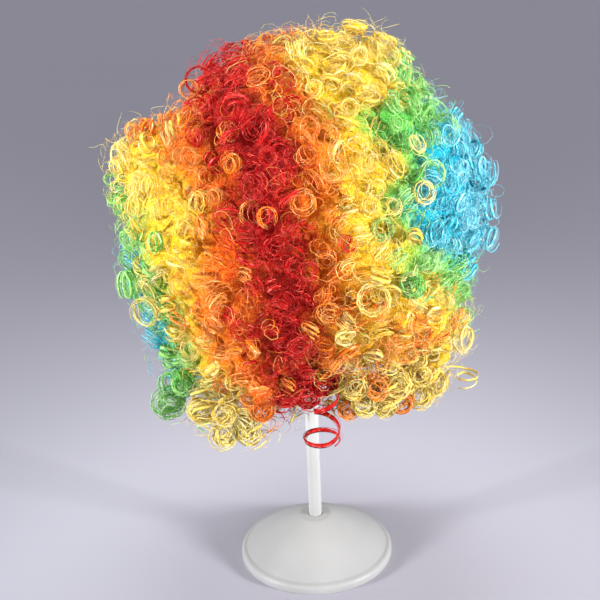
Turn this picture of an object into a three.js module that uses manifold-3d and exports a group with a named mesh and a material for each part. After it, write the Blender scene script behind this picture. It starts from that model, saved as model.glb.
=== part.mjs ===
// Curly striped clown wig on its plain white display stand.
// Millimetres, +Z up, origin on the floor under the middle of the stand's round foot.
// The wig's front looks along -Y. The wig sits rolled to its right on the stand, as worn askew.

import * as THREE from "three";
import Module from "manifold-3d";
import { mergeVertices } from "three/addons/utils/BufferGeometryUtils.js";

const wasm = await Module();
wasm.setup();

// Stand sizes
const standHeight = 436;
const footDiameter = 150;
const footRimHeight = 5;
const footEdgeChamfer = 0.8;
const footShoulderWidth = 5;
const footShoulderHeight = 4.5;
const footDomeHeight = 45;
const footDomePower = 1.3;
const footSocketDepth = 24;
const postDiameter = 12.7;
const collarWidth = 3.2;
const headRestSpread = 50;
const headRestWall = 2.4;
const headRestHubWall = 4.5;
const headRestHubLength = 26;
const headRestSocketDepth = 20;

// Wig cap sizes
const capHalfWidth = 86;
const capLengthRatio = 1.12;
const capWall = 1.6;
const capSkirtDepth = 62;
const capSkirtTaper = 0.05;
const capHemHeight = 7;
const capHemThickness = 3;
const capRoll = 20;

// Hair sizes
const hairRadius = 177;
const hairBodyShare = 0.86;
const hemDrop = 150;
const hemRoll = 8;
const hemReach = 47;
const openingFlare = 6;
const openingFollow = 16;
const curlRadius = 16;
const curlThickness = 12;
const curlSpacing = 73;
const curlEdgeRoom = 15;
const hangingCurlRadius = 11.5;
const hangingCurlThickness = 2.6;
const hangingCurlDrop = 52;
const hangingCurlSide = 2;
const hangingCurlStandOff = 16;
const hangingCurlTurns = 2.2;
const curlSweep = 250;
const curlStart = -60;

// Clearances
const fitGap = 0.3;
const headRestGap = 1.6;
const panelGap = 0.5;

// Facets of the cap and of the hair's seat on it
const capSides = 18;
const capSteps = 6;

const degrees = Math.PI / 180;

// Reach of the hair seen from the front and a little above, as a share of hairRadius.
// around is the angle in degrees from the wig's own left, anticlockwise.
const outlineTilt = 24;
const hairOutline = [
  { around: 0, reach: 0.97 },
  { around: 22, reach: 0.99 },
  { around: 45, reach: 0.93 },
  { around: 67, reach: 1.06 },
  { around: 90, reach: 1.05 },
  { around: 112, reach: 1.02 },
  { around: 135, reach: 0.91 },
  { around: 157, reach: 1.07 },
  { around: 180, reach: 0.96 },
  { around: 202, reach: 1.0 },
  { around: 227, reach: 1.08 },
  { around: 247, reach: 1.06 },
  { around: 270, reach: 0.9 },
  { around: 292, reach: 0.97 },
  { around: 315, reach: 1.05 },
  { around: 337, reach: 0.91 },
];

// Where one colour of hair meets the next. round is the angle in degrees from the crown, down the
// front or the back alike, to the underside. The other columns are angles in degrees to either side
// of the wig's middle plane, minus on its right. At the hem the stripes hang straight down, so they
// drift to one side of the rolled middle plane.
const stripeChart = [
  { round: 0, green_right: -72, yellow_right: -56, orange_right: -34, red_right: -15,
    red_left: 4, orange_left: 15, yellow_left: 50, green_left: 66 },
  { round: 25, green_right: -72, yellow_right: -55, orange_right: -31, red_right: -14,
    red_left: 7, orange_left: 18, yellow_left: 54, green_left: 68 },
  { round: 45, green_right: -68, yellow_right: -49, orange_right: -25, red_right: -12,
    red_left: 12, orange_left: 21, yellow_left: 34, green_left: 60 },
  { round: 60, green_right: -64, yellow_right: -46, orange_right: -23, red_right: -12,
    red_left: 11, orange_left: 20, yellow_left: 40, green_left: 53 },
  { round: 80, green_right: -64, yellow_right: -50, orange_right: -36, red_right: -17,
    red_left: 4, orange_left: 16, yellow_left: 32, green_left: 41 },
  { round: 100, green_right: -62, yellow_right: -48, orange_right: -37, red_right: -20,
    red_left: 0, orange_left: 9, yellow_left: 26, green_left: 37 },
  { round: 125, green_right: -62, yellow_right: -49, orange_right: -32, red_right: -23,
    red_left: -8, orange_left: -1, yellow_left: 41, green_left: 51 },
  { round: 150, green_right: -62, yellow_right: -50, orange_right: -33, red_right: -22,
    red_left: -12, orange_left: -4, yellow_left: 40, green_left: 52 },
  { round: 180, green_right: -64, yellow_right: -52, orange_right: -34, red_right: -20,
    red_left: -6, orange_left: 4, yellow_left: 41, green_left: 52 },
];

// Colour panels from the wig's right to its left, each between two columns of the chart.
const panels = [
  { name: "hair_blue_right", colour: "#1fa9c4", from: null, to: "green_right" },
  { name: "hair_green_right", colour: "#4fc23c", from: "green_right", to: "yellow_right" },
  { name: "hair_yellow_right", colour: "#f6cf1f", from: "yellow_right", to: "orange_right" },
  { name: "hair_orange_right", colour: "#f5851d", from: "orange_right", to: "red_right" },
  { name: "hair_red", colour: "#d8141f", from: "red_right", to: "red_left" },
  { name: "hair_orange_left", colour: "#f5851d", from: "red_left", to: "orange_left" },
  { name: "hair_yellow_left", colour: "#f6cf1f", from: "orange_left", to: "yellow_left" },
  { name: "hair_green_left", colour: "#4fc23c", from: "yellow_left", to: "green_left" },
  { name: "hair_blue_left", colour: "#1fa9c4", from: "green_left", to: null },
];

// Derived sizes
const postRadius = postDiameter / 2;
const socketRadius = postRadius + fitGap;
const collarRadius = socketRadius + collarWidth;
const headRestRadius = capHalfWidth - capWall - headRestGap;
const wigCentreHeight = standHeight - headRestRadius;
const rollAngle = capRoll * degrees;
const across = new THREE.Vector3(Math.cos(rollAngle), 0, Math.sin(rollAngle));
const crown = new THREE.Vector3(-Math.sin(rollAngle), 0, Math.cos(rollAngle));
const front = new THREE.Vector3(0, -1, 0);

// Solids and meshes

function toSolid(geometry) {
  const bare = geometry.clone();
  bare.deleteAttribute("normal");
  bare.deleteAttribute("uv");
  const merged = mergeVertices(bare, 1e-4);
  return new wasm.Manifold(new wasm.Mesh({
    numProp: 3,
    vertProperties: new Float32Array(merged.attributes.position.array),
    triVerts: new Uint32Array(merged.index.array),
  }));
}

function toGeometry(solid) {
  const mesh = solid.getMesh();
  const geometry = new THREE.BufferGeometry();
  geometry.setAttribute("position", new THREE.BufferAttribute(mesh.vertProperties, 3));
  geometry.setIndex(new THREE.BufferAttribute(mesh.triVerts, 1));
  return geometry;
}

function named(name, geometry, material) {
  const mesh = new THREE.Mesh(geometry, material);
  mesh.name = name;
  return mesh;
}

// A turned solid about Z from profile points [radius, height].
function turned(profile, segments) {
  const points = profile.map(([radius, height]) => new THREE.Vector2(radius, height));
  return new THREE.LatheGeometry(points, segments).rotateX(Math.PI / 2);
}

// Value of a column of a table at a station, easing from row to row.
function readTable(table, station, column, at) {
  let row = 0;
  while (row < table.length - 2 && at > table[row + 1][station]) row += 1;
  const low = table[row];
  const high = table[row + 1];
  const part = THREE.MathUtils.smoothstep(at, low[station], high[station]);
  return low[column] + (high[column] - low[column]) * part;
}

// An even spread of numbers from 0 to 1, one for each count and stream.
function spread(count, stream) {
  const value = 0.5 + count * 0.6180339887 + stream * 0.7548776662 * (1 + count % 7);
  return value - Math.floor(value);
}

// Stand

// A low cone-like dome over a rounded shoulder and a short upright rim, closed underneath.
function standFoot() {
  const rimRadius = footDiameter / 2;
  const shoulderRadius = rimRadius - footShoulderWidth;
  const shoulderTop = footRimHeight + footShoulderHeight;
  const profile = [
    [0, 0],
    [rimRadius - footEdgeChamfer, 0],
    [rimRadius, footEdgeChamfer],
    [rimRadius, footRimHeight],
    [shoulderRadius + footShoulderWidth * Math.SQRT1_2, footRimHeight + footShoulderHeight * Math.SQRT1_2],
  ];
  const steps = 6;
  for (let step = 0; step <= steps; step += 1) {
    const radius = shoulderRadius + (collarRadius - shoulderRadius) * (step / steps);
    const fall = ((radius - collarRadius) / (shoulderRadius - collarRadius)) ** footDomePower;
    profile.push([radius, footDomeHeight - (footDomeHeight - shoulderTop) * fall]);
  }
  profile.push([socketRadius, footDomeHeight]);
  profile.push([socketRadius, footDomeHeight - footSocketDepth]);
  profile.push([0, footDomeHeight - footSocketDepth]);
  return turned(profile, 30);
}

function standPost() {
  const bottom = footDomeHeight - footSocketDepth + fitGap;
  const top = standHeight - headRestWall - headRestHubLength + headRestSocketDepth - fitGap;
  return turned([[0, bottom], [postRadius, bottom], [postRadius, top], [0, top]], 20);
}

// A thin dome on a hub that carries the cap's crown.
function headRest() {
  const inner = headRestRadius - headRestWall;
  const hubRadius = socketRadius + headRestHubWall;
  const hubBottom = inner - headRestHubLength;
  const steps = 4;
  const profile = [];
  for (let step = 0; step <= steps; step += 1) {
    const angle = headRestSpread * degrees * (1 - step / steps);
    profile.unshift([headRestRadius * Math.sin(angle), headRestRadius * Math.cos(angle)]);
  }
  const hubAngle = Math.asin(hubRadius / inner);
  for (let step = 0; step <= steps; step += 1) {
    const angle = headRestSpread * degrees + (hubAngle - headRestSpread * degrees) * (step / steps);
    profile.push([inner * Math.sin(angle), inner * Math.cos(angle)]);
  }
  profile.push([hubRadius, hubBottom]);
  profile.push([socketRadius, hubBottom]);
  profile.push([socketRadius, hubBottom + headRestSocketDepth]);
  profile.push([0, hubBottom + headRestSocketDepth]);
  return turned(profile.reverse(), 18);
}

// Wig cap

// Outer half width of the cap's surface at a height over its middle.
function capWidthAt(height, halfWidth) {
  if (height >= 0) return Math.sqrt(Math.max(halfWidth ** 2 - height ** 2, 0));
  return halfWidth * (1 - capSkirtTaper * (height / capSkirtDepth) ** 2);
}

// Profile points [radius, height] from the hem's height up to the crown.
function capProfile(halfWidth, bottom, steps) {
  const profile = [];
  for (let step = 0; step < 2; step += 1) {
    const height = bottom * (1 - step / 2);
    profile.push([capWidthAt(height, halfWidth), height]);
  }
  for (let step = 0; step <= steps; step += 1) {
    const angle = (step / steps) * 90 * degrees;
    profile.push([halfWidth * Math.cos(angle), halfWidth * Math.sin(angle)]);
  }
  profile[profile.length - 1][0] = 0;
  return profile;
}

function wigCap() {
  const outer = capProfile(capHalfWidth, -capSkirtDepth, capSteps);
  const inner = capProfile(capHalfWidth - capWall, -capSkirtDepth + capHemHeight, capSteps);
  const hemOuter = outer[0][0];
  const hem = [
    [hemOuter - capHemThickness, -capSkirtDepth + capHemHeight - capWall],
    [hemOuter - capHemThickness, -capSkirtDepth],
  ];
  const geometry = turned([...inner.reverse(), ...hem, ...outer], capSides);
  return geometry.scale(1, capLengthRatio, 1);
}

// Hair

// The direction at an angle to the side of the middle plane and an angle from the crown to the front.
function stripeDirection(side, turn) {
  return across.clone().multiplyScalar(Math.sin(side * degrees))
    .addScaledVector(crown, Math.cos(side * degrees) * Math.cos(turn * degrees))
    .addScaledVector(front, Math.cos(side * degrees) * Math.sin(turn * degrees));
}

// The two angles of a direction, in degrees.
function stripePlace(direction) {
  const side = Math.asin(THREE.MathUtils.clamp(direction.dot(across), -1, 1)) / degrees;
  const turn = Math.atan2(direction.dot(front), direction.dot(crown)) / degrees;
  return { side, turn };
}

// A panel's two edges at an angle from the crown.
function panelEdges(panel, turn) {
  const edge = (column) => readTable(stripeChart, "round", column, Math.abs(turn));
  return { from: panel.from ? edge(panel.from) : -90, to: panel.to ? edge(panel.to) : 90 };
}

// Broad heaps of curls that make the outline lumpy from every side.
function heaps(direction) {
  const { x, y, z } = direction;
  return 0.032 * Math.sin(5.1 * x + 2.2 * y + 1.0) * Math.sin(4.7 * z - 1.4 * y)
    + 0.022 * Math.sin(8.3 * y + 3.1 * z) * Math.cos(7.1 * x - 0.6);
}

// How far the curls reach from the wig's middle in a direction.
function hairReach(direction) {
  const up = direction.z * Math.cos(outlineTilt * degrees) + direction.y * Math.sin(outlineTilt * degrees);
  const facing = Math.hypot(direction.x, up);
  const around = (Math.atan2(up, direction.x) / degrees + 360) % 360;
  const closed = [...hairOutline, { around: 360, reach: hairOutline[0].reach }];
  const outline = readTable(closed, "around", "reach", around);
  const share = 1 + (outline - 1) * facing ** 3 + heaps(direction);
  const reach = hairRadius * share;
  const drop = -direction.z * reach;
  return drop > hemDrop ? reach * (hemDrop + (drop - hemDrop) * 0.3) / drop : reach;
}

// The packed mass of hair under the curls.
function hairBall() {
  const ball = mergeVertices(new THREE.IcosahedronGeometry(1, 4).deleteAttribute("normal")
    .deleteAttribute("uv"), 1e-4);
  const place = ball.attributes.position;
  for (let index = 0; index < place.count; index += 1) {
    const direction = new THREE.Vector3().fromBufferAttribute(place, index).normalize();
    const point = direction.clone().multiplyScalar(hairReach(direction) * hairBodyShare);
    place.setXYZ(index, point.x, point.y, point.z);
  }
  return toSolid(ball);
}

// The space that the cap and the head below it take out of the hair: it follows the rolled cap a
// little past its hem, and then goes straight down between the hanging curls.
function headSpace() {
  const profile = capProfile(capHalfWidth + fitGap, -capSkirtDepth, capSteps);
  const follow = [profile[0][0], -capSkirtDepth - openingFollow];
  const underCap = turned([[0, follow[1]], follow, ...profile], capSides)
    .scale(1, capLengthRatio, 1).rotateY(-rollAngle);
  const wayDown = hairRadius;
  const shaft = turned([[0, -wayDown], [profile[0][0] + openingFlare, -wayDown],
    [profile[0][0], 0], [0, 0]], capSides)
    .scale(Math.cos(rollAngle), capLengthRatio, 1)
    .translate(-crown.x * capSkirtDepth, 0, -crown.z * capSkirtDepth);
  return toSolid(underCap).add(toSolid(shaft));
}

// A cone from the wig's middle that holds every direction past a boundary of the chart.
function stripeCone(column, isLeft, widenBy) {
  const far = hairRadius * 2.4;
  const pole = across.clone().multiplyScalar(isLeft ? far : -far);
  const steps = 18;
  const corners = [new THREE.Vector3(), pole];
  for (let step = 0; step < steps; step += 1) {
    const turn = (step / steps) * 360 - 180;
    const edge = readTable(stripeChart, "round", column, Math.abs(turn));
    corners.push(stripeDirection(isLeft ? edge - widenBy : edge + widenBy, turn).multiplyScalar(far));
  }
  const faces = [];
  for (let step = 0; step < steps; step += 1) {
    const here = 2 + step;
    const next = 2 + (step + 1) % steps;
    faces.push(...(isLeft ? [0, next, here, 1, here, next] : [0, here, next, 1, next, here]));
  }
  const geometry = new THREE.BufferGeometry();
  geometry.setAttribute("position", new THREE.Float32BufferAttribute(
    corners.flatMap((corner) => corner.toArray()), 3));
  geometry.setIndex(faces);
  return toSolid(geometry);
}

// Keeps what lies between a panel's two boundaries, short of each by half the gap.
function cutToPanel(solid, panel) {
  const half = (panelGap / 2 / capHalfWidth) / degrees;
  let cut = solid;
  if (panel.from) {
    const isLeft = panel.from.endsWith("left");
    const cone = stripeCone(panel.from, isLeft, isLeft ? -half : half);
    cut = isLeft ? cut.intersect(cone) : cut.subtract(cone);
  }
  if (panel.to) {
    const isLeft = panel.to.endsWith("left");
    const cone = stripeCone(panel.to, isLeft, isLeft ? half : -half);
    cut = isLeft ? cut.subtract(cone) : cut.intersect(cone);
  }
  return cut;
}

// A closed tube through rings of points, each ring with its own radius.
function lockSolid(path, radii, sides) {
  const curve = new THREE.CatmullRomCurve3(path);
  const steps = radii.length - 1;
  const frames = curve.computeFrenetFrames(steps);
  const corners = [];
  const faces = [];
  radii.forEach((radius, ring) => {
    const centre = curve.getPointAt(ring / steps);
    for (let side = 0; side < sides; side += 1) {
      const angle = (side / sides) * 2 * Math.PI;
      corners.push(centre.clone()
        .addScaledVector(frames.normals[ring], radius * Math.cos(angle))
        .addScaledVector(frames.binormals[ring], radius * Math.sin(angle)));
    }
  });
  for (let ring = 0; ring < steps; ring += 1) {
    for (let side = 0; side < sides; side += 1) {
      const low = ring * sides + side;
      const next = ring * sides + (side + 1) % sides;
      faces.push(low, next, low + sides, next, next + sides, low + sides);
    }
  }
  const last = steps * sides;
  for (let side = 1; side < sides - 1; side += 1) {
    faces.push(0, side + 1, side);
    faces.push(last, last + side, last + side + 1);
  }
  const geometry = new THREE.BufferGeometry();
  geometry.setAttribute("position", new THREE.Float32BufferAttribute(
    corners.flatMap((corner) => corner.toArray()), 3));
  geometry.setIndex(faces);
  return toSolid(geometry);
}

// A lock that comes out of the packed hair and curls over at its end.
function curlLock(direction, count) {
  const reach = hairReach(direction) * (1 + 0.05 * (spread(count, 3) - 0.5));
  const along = direction.clone().cross(across).normalize();
  const turn = (spread(count, 1) - 0.5) * 70 * degrees + (count % 2) * Math.PI;
  const side = along.applyAxisAngle(direction, turn);
  const lean = (spread(count, 2) - 0.5) * 100 * degrees;
  const out = direction.clone().applyAxisAngle(side, lean);
  const radius = curlRadius * (0.85 + 0.3 * spread(count, 4));
  const centre = direction.clone().multiplyScalar(reach - radius - curlThickness);
  const path = [direction.clone().multiplyScalar(hairReach(direction) * hairBodyShare - curlRadius)];
  const arcSteps = 3;
  for (let step = 0; step <= arcSteps; step += 1) {
    const angle = (curlStart + curlSweep * (step / arcSteps)) * degrees;
    path.push(centre.clone()
      .addScaledVector(side, -radius * Math.cos(angle))
      .addScaledVector(out, radius * Math.sin(angle)));
  }
  const thickness = [1, 1, 0.95, 0.85, 0.55].map((share) => share * curlThickness);
  return lockSolid(path, thickness, 5);
}

// Directions spread evenly over the hair, leaving out the head's opening.
function lockDirections() {
  const area = 4 * Math.PI * hairRadius ** 2;
  const total = Math.round(area / (curlSpacing * curlSpacing));
  const hemUp = new THREE.Vector3(-Math.sin(hemRoll * degrees), 0, Math.cos(hemRoll * degrees));
  const directions = [];
  for (let count = 0; count < total; count += 1) {
    const height = 1 - (2 * count + 1) / total;
    const level = Math.sqrt(1 - height * height);
    const turn = count * 137.50776 * degrees;
    const direction = new THREE.Vector3(level * Math.cos(turn), level * Math.sin(turn), height);
    if (direction.dot(hemUp) > -Math.sin(hemReach * degrees)) directions.push(direction);
  }
  return directions;
}

function isInPanel(direction, panel) {
  const { side, turn } = stripePlace(direction);
  const { from, to } = panelEdges(panel, turn);
  return side > from && side <= to;
}

// The direction moved towards its panel's middle until a curl there has room to both edges.
function withRoom(direction, panel) {
  const { side, turn } = stripePlace(direction);
  const edges = panelEdges(panel, turn);
  const room = Math.min(curlEdgeRoom / hairRadius / degrees, (edges.to - edges.from) / 2);
  return stripeDirection(THREE.MathUtils.clamp(side, edges.from + room, edges.to - room), turn);
}

// A thin ringlet that hangs out of the hem in front of the post. It starts inside the packed hair.
function hangingCurl() {
  const forward = capHalfWidth * capLengthRatio + hangingCurlStandOff;
  const top = new THREE.Vector3(hangingCurlSide, -forward, -hemDrop * 0.74);
  const root = new THREE.Vector3(0, hangingCurlRadius / 2, hangingCurlRadius * 2);
  const steps = 17;
  const path = [top.clone().add(root)];
  for (let step = 0; step <= steps; step += 1) {
    const part = step / steps;
    const angle = part * hangingCurlTurns * 2 * Math.PI;
    const swing = hangingCurlRadius * Math.min(1, 0.4 + part);
    path.push(new THREE.Vector3(
      top.x + swing * Math.cos(angle) - hangingCurlRadius * 0.4 * (1 - part),
      top.y + swing * 0.6 * Math.sin(angle),
      top.z - hangingCurlDrop * part + swing * 0.5 * Math.sin(angle)));
  }
  const radii = new Array(steps + 5).fill(hangingCurlThickness);
  radii[radii.length - 1] *= 0.6;
  return lockSolid(path, radii, 5);
}

function hairPanels() {
  const space = headSpace();
  const ball = hairBall();
  const directions = lockDirections();
  return panels.map((panel) => {
    let hair = ball;
    directions.forEach((direction, count) => {
      if (isInPanel(direction, panel)) hair = hair.add(curlLock(withRoom(direction, panel), count));
    });
    let solid = cutToPanel(hair.subtract(space), panel);
    if (panel.name === "hair_red") solid = solid.add(hangingCurl());
    const material = new THREE.MeshStandardMaterial({
      color: panel.colour, roughness: 0.45, metalness: 0, flatShading: true,
    });
    return named(panel.name, toGeometry(solid), material);
  });
}

// Assembly

const whitePlastic = new THREE.MeshStandardMaterial({ color: "#f1f0ee", roughness: 0.4, metalness: 0 });
const capNet = new THREE.MeshStandardMaterial({ color: "#d9c3a5", roughness: 0.9, metalness: 0 });

const part = new THREE.Group();
part.add(named("stand_foot", standFoot(), whitePlastic));
part.add(named("stand_post", standPost(), whitePlastic));

const wig = new THREE.Group();
wig.position.z = wigCentreHeight;
wig.add(named("head_rest", headRest(), whitePlastic));
const cap = named("wig_cap", wigCap(), capNet);
cap.rotation.y = -rollAngle;
wig.add(cap);
wig.add(...hairPanels());
part.add(wig);

export default part;
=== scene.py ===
# Curly striped clown wig on its plain white display stand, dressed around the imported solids.
# Metres, +Z up, the stand's foot on the origin, the wig's front towards -Y, its own left on +X.

import math

import bmesh
import bpy
import numpy as np
from mathutils import Matrix, Vector, kdtree


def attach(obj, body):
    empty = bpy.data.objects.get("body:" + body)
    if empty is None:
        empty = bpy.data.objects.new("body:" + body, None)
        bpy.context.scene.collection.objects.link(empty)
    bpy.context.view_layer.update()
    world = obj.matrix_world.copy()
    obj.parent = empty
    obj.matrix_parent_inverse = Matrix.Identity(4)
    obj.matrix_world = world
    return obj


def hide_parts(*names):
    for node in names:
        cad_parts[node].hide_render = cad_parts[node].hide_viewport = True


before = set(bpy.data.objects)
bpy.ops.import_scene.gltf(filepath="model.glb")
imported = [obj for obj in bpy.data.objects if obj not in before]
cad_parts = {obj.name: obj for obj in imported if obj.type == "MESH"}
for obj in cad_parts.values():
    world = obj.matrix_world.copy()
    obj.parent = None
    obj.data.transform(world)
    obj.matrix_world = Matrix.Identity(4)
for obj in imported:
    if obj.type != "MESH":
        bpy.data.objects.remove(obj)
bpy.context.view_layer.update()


# Camera
# It stands in front of the wig and looks down on it at about 23 degrees, with the small roll that
# makes the post lean in the picture. The lens is 75 mm on a 36 mm frame.

camera_place = (-0.0068, -1.0583, 0.7275)
camera_pitch = math.radians(23.19)
camera_roll = math.radians(2.3)
lens_length = 75

camera = bpy.data.objects.new("camera", bpy.data.cameras.new("camera"))
bpy.context.scene.collection.objects.link(camera)
camera.data.lens = lens_length
camera.data.sensor_width = 36
camera.matrix_world = (Matrix.Translation(camera_place)
                       @ Matrix.Rotation(math.pi / 2 - camera_pitch, 4, "X")
                       @ Matrix.Rotation(-camera_roll, 4, "Z"))
bpy.context.scene.camera = camera


# Stand
# A round foot, a straight post and a thin dome that holds the wig up from inside. All are moulded in
# satin white plastic, turned about the same upright line, and the post is pushed into its sockets.

foot_radius = 0.075
foot_rim_height = 0.005
foot_edge_chamfer = 0.0008
foot_shoulder_width = 0.005
foot_shoulder_height = 0.0045
foot_dome_height = 0.045
foot_dome_power = 1.3
foot_socket_depth = 0.024
foot_dish_radius = 0.0132
foot_dish_depth = 0.0013
foot_dish_slope = 0.0007
foot_rim_line_depth = 0.0004
foot_hollow_height = 0.0006
foot_hollow_shares = (0.55, 0.56)
post_radius = 0.00635
post_chamfer = 0.0005
socket_radius = 0.00665
socket_chamfer = 0.0006
collar_radius = 0.00985
stand_height = 0.436
head_rest_radius = 0.0828
head_rest_wall = 0.0024
head_rest_spread = math.radians(50)
head_rest_hub_radius = 0.01115
head_rest_hub_length = 0.026
head_rest_socket_depth = 0.020
head_rest_fillet = 0.003
head_rest_lip_turn = 0.012
head_rest_lip_bulge = 0.0002
fit_gap = 0.0003
turning_sides = 96
post_sides = 48
sharp_angle = math.radians(38)


class Value:
    """A socket that gives a number. Sums written on it add Math nodes to its material."""

    def __init__(self, finish, socket):
        self.finish = finish
        self.socket = socket

    def sum(self, operation, first, second=None):
        inputs = {0: first} if second is None else {0: first, 1: second}
        return self.finish.node("Math", {"operation": operation}, inputs)

    def __add__(self, other):
        return self.sum("ADD", self, other)

    def __radd__(self, other):
        return self.sum("ADD", other, self)

    def __sub__(self, other):
        return self.sum("SUBTRACT", self, other)

    def __rsub__(self, other):
        return self.sum("SUBTRACT", other, self)

    def __mul__(self, other):
        return self.sum("MULTIPLY", self, other)

    def __rmul__(self, other):
        return self.sum("MULTIPLY", other, self)

    def sine(self):
        return self.sum("SINE", self)

    def between(self, low, high):
        """0 below low and 1 above high, easing from one to the other."""
        return self.finish.node("MapRange", {"interpolation_type": "SMOOTHSTEP"},
                                {"Value": self, "From Min": low, "From Max": high})


class Finish:
    """A material. node() adds one node to it: settings first, then the values or links of sockets."""

    def __init__(self, name):
        self.material = bpy.data.materials.new(name)
        self.material.use_nodes = True
        self.material.node_tree.nodes.clear()

    def node(self, kind, settings=None, inputs=None, output=0):
        node = self.material.node_tree.nodes.new("ShaderNode" + kind)
        for name, setting in (settings or {}).items():
            if name == "stops":
                self.set_stops(node.color_ramp, setting)
            else:
                setattr(node, name, setting)
        for name, given in (inputs or {}).items():
            if isinstance(given, Value):
                self.material.node_tree.links.new(given.socket, node.inputs[name])
            else:
                node.inputs[name].default_value = given
        return Value(self, node.outputs[output]) if node.outputs else node

    def set_stops(self, ramp, stops):
        while len(ramp.elements) < len(stops):
            ramp.elements.new(0.5)
        for element, (place, colour) in zip(ramp.elements, stops):
            element.position = place
            element.color = (*colour, 1)

    def place(self):
        return self.node("TexCoord", output="Object")

    def noise(self, vector, scale, detail=2.0, roughness=0.5, distortion=0.0, output=0):
        return self.node("TexNoise", {}, {"Vector": vector, "Scale": scale, "Detail": detail,
                                          "Roughness": roughness, "Distortion": distortion}, output)

    def stretch(self, vector, scale):
        return self.node("VectorMath", {"operation": "MULTIPLY"}, {0: vector, 1: scale})

    def blend(self, factor, low, high):
        return self.node("Mix", {"data_type": "RGBA"}, {"Factor": factor, "A": low, "B": high}, 2)

    def bump(self, height, strength, distance):
        return self.node("Bump", {}, {"Height": height, "Strength": strength, "Distance": distance})

    def surface(self, shader):
        self.node("OutputMaterial", {}, {"Surface": shader})
        return self.material


def white_plastic():
    """Satin white plastic with a faint moulded grain and slightly rubbed patches."""
    finish = Finish("white_plastic")
    place = finish.place()
    cloud = finish.noise(place, 14, 3)
    grain = finish.noise(place, 900, 2)
    rub = finish.noise(finish.stretch(place, (60, 60, 220)), 1, 3)
    colour = finish.blend(cloud.between(0.35, 0.7), (0.45, 0.45, 0.445, 1), (0.49, 0.49, 0.485, 1))
    roughness = 0.33 + 0.1 * cloud + 0.06 * rub
    normal = finish.bump(grain, 0.12, 0.0002)
    shader = finish.node("BsdfPrincipled", {}, {
        "Base Color": colour, "Roughness": roughness, "Normal": normal, "IOR": 1.46})
    return finish.surface(shader)


def place_piece(name, mesh, material, replaced=()):
    """Puts a finished mesh in the scene as a piece of the object."""
    piece = bpy.data.objects.new(name, mesh)
    bpy.context.scene.collection.objects.link(piece)
    mesh.materials.clear()
    mesh.materials.append(material)
    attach(piece, "root")
    if replaced:
        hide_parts(*replaced)
    return piece


def turned(name, profile, sides):
    """A closed solid turned about Z from (radius, height) points that run from axis to axis."""
    shape = bmesh.new()
    line = [shape.verts.new((radius, 0, height)) for radius, height in profile]
    edges = [shape.edges.new(pair) for pair in zip(line, line[1:])]
    bmesh.ops.spin(shape, geom=line + edges, cent=(0, 0, 0), axis=(0, 0, 1),
                   angle=2 * math.pi, steps=sides, use_duplicate=False)
    bmesh.ops.remove_doubles(shape, verts=shape.verts, dist=1e-6)
    bmesh.ops.recalc_face_normals(shape, faces=shape.faces)
    mesh = bpy.data.meshes.new(name)
    shape.to_mesh(mesh)
    shape.free()
    mesh.shade_smooth()
    mesh.set_sharp_from_angle(angle=sharp_angle)
    return mesh


def foot_profile():
    """The foot from the middle of its underside out over the rim and up the dome to the socket."""
    shoulder_radius = foot_radius - foot_shoulder_width
    shoulder_top = foot_rim_height + foot_shoulder_height
    hollow_radius, flat_radius = [foot_radius * share for share in foot_hollow_shares]
    profile = [(0, foot_hollow_height), (hollow_radius, foot_hollow_height), (flat_radius, 0)]
    for step in range(4):
        angle = math.pi / 2 * step / 3
        profile.append((foot_radius - foot_edge_chamfer * (1 - math.sin(angle)),
                        foot_edge_chamfer * (1 - math.cos(angle))))
    line = foot_rim_line_depth
    profile += [(foot_radius, foot_rim_height - 2 * line), (foot_radius - line, foot_rim_height - line),
                (foot_radius, foot_rim_height)]
    for step in range(1, 7):
        angle = math.pi / 2 * step / 6
        profile.append((shoulder_radius + foot_shoulder_width * math.cos(angle),
                        foot_rim_height + foot_shoulder_height * math.sin(angle)))
    steps = 44
    for step in range(1, steps + 1):
        radius = shoulder_radius + (collar_radius - shoulder_radius) * step / steps
        part = max(radius - collar_radius, 0) / (shoulder_radius - collar_radius)
        fall = part ** foot_dome_power
        height = foot_dome_height - (foot_dome_height - shoulder_top) * fall
        dish = 1 / (1 + math.exp((radius - foot_dish_radius) / foot_dish_slope))
        profile.append((radius, height - foot_dish_depth * dish))
    dish_height = foot_dome_height - foot_dish_depth
    socket_bottom = foot_dome_height - foot_socket_depth
    profile += [(socket_radius + socket_chamfer, dish_height), (socket_radius, dish_height - socket_chamfer),
                (socket_radius, socket_bottom), (0, socket_bottom)]
    return profile


def post_profile():
    """The post from the bottom of the foot's socket to the top of the rest's."""
    bottom = foot_dome_height - foot_socket_depth + fit_gap
    top = stand_height - head_rest_wall - head_rest_hub_length + head_rest_socket_depth - fit_gap
    middle = [(post_radius, bottom + (top - bottom) * step / 12) for step in range(1, 12)]
    inner = post_radius - post_chamfer
    return [(0, bottom), (inner, bottom), (post_radius, bottom + post_chamfer), *middle,
            (post_radius, top - post_chamfer), (inner, top), (0, top)]


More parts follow.
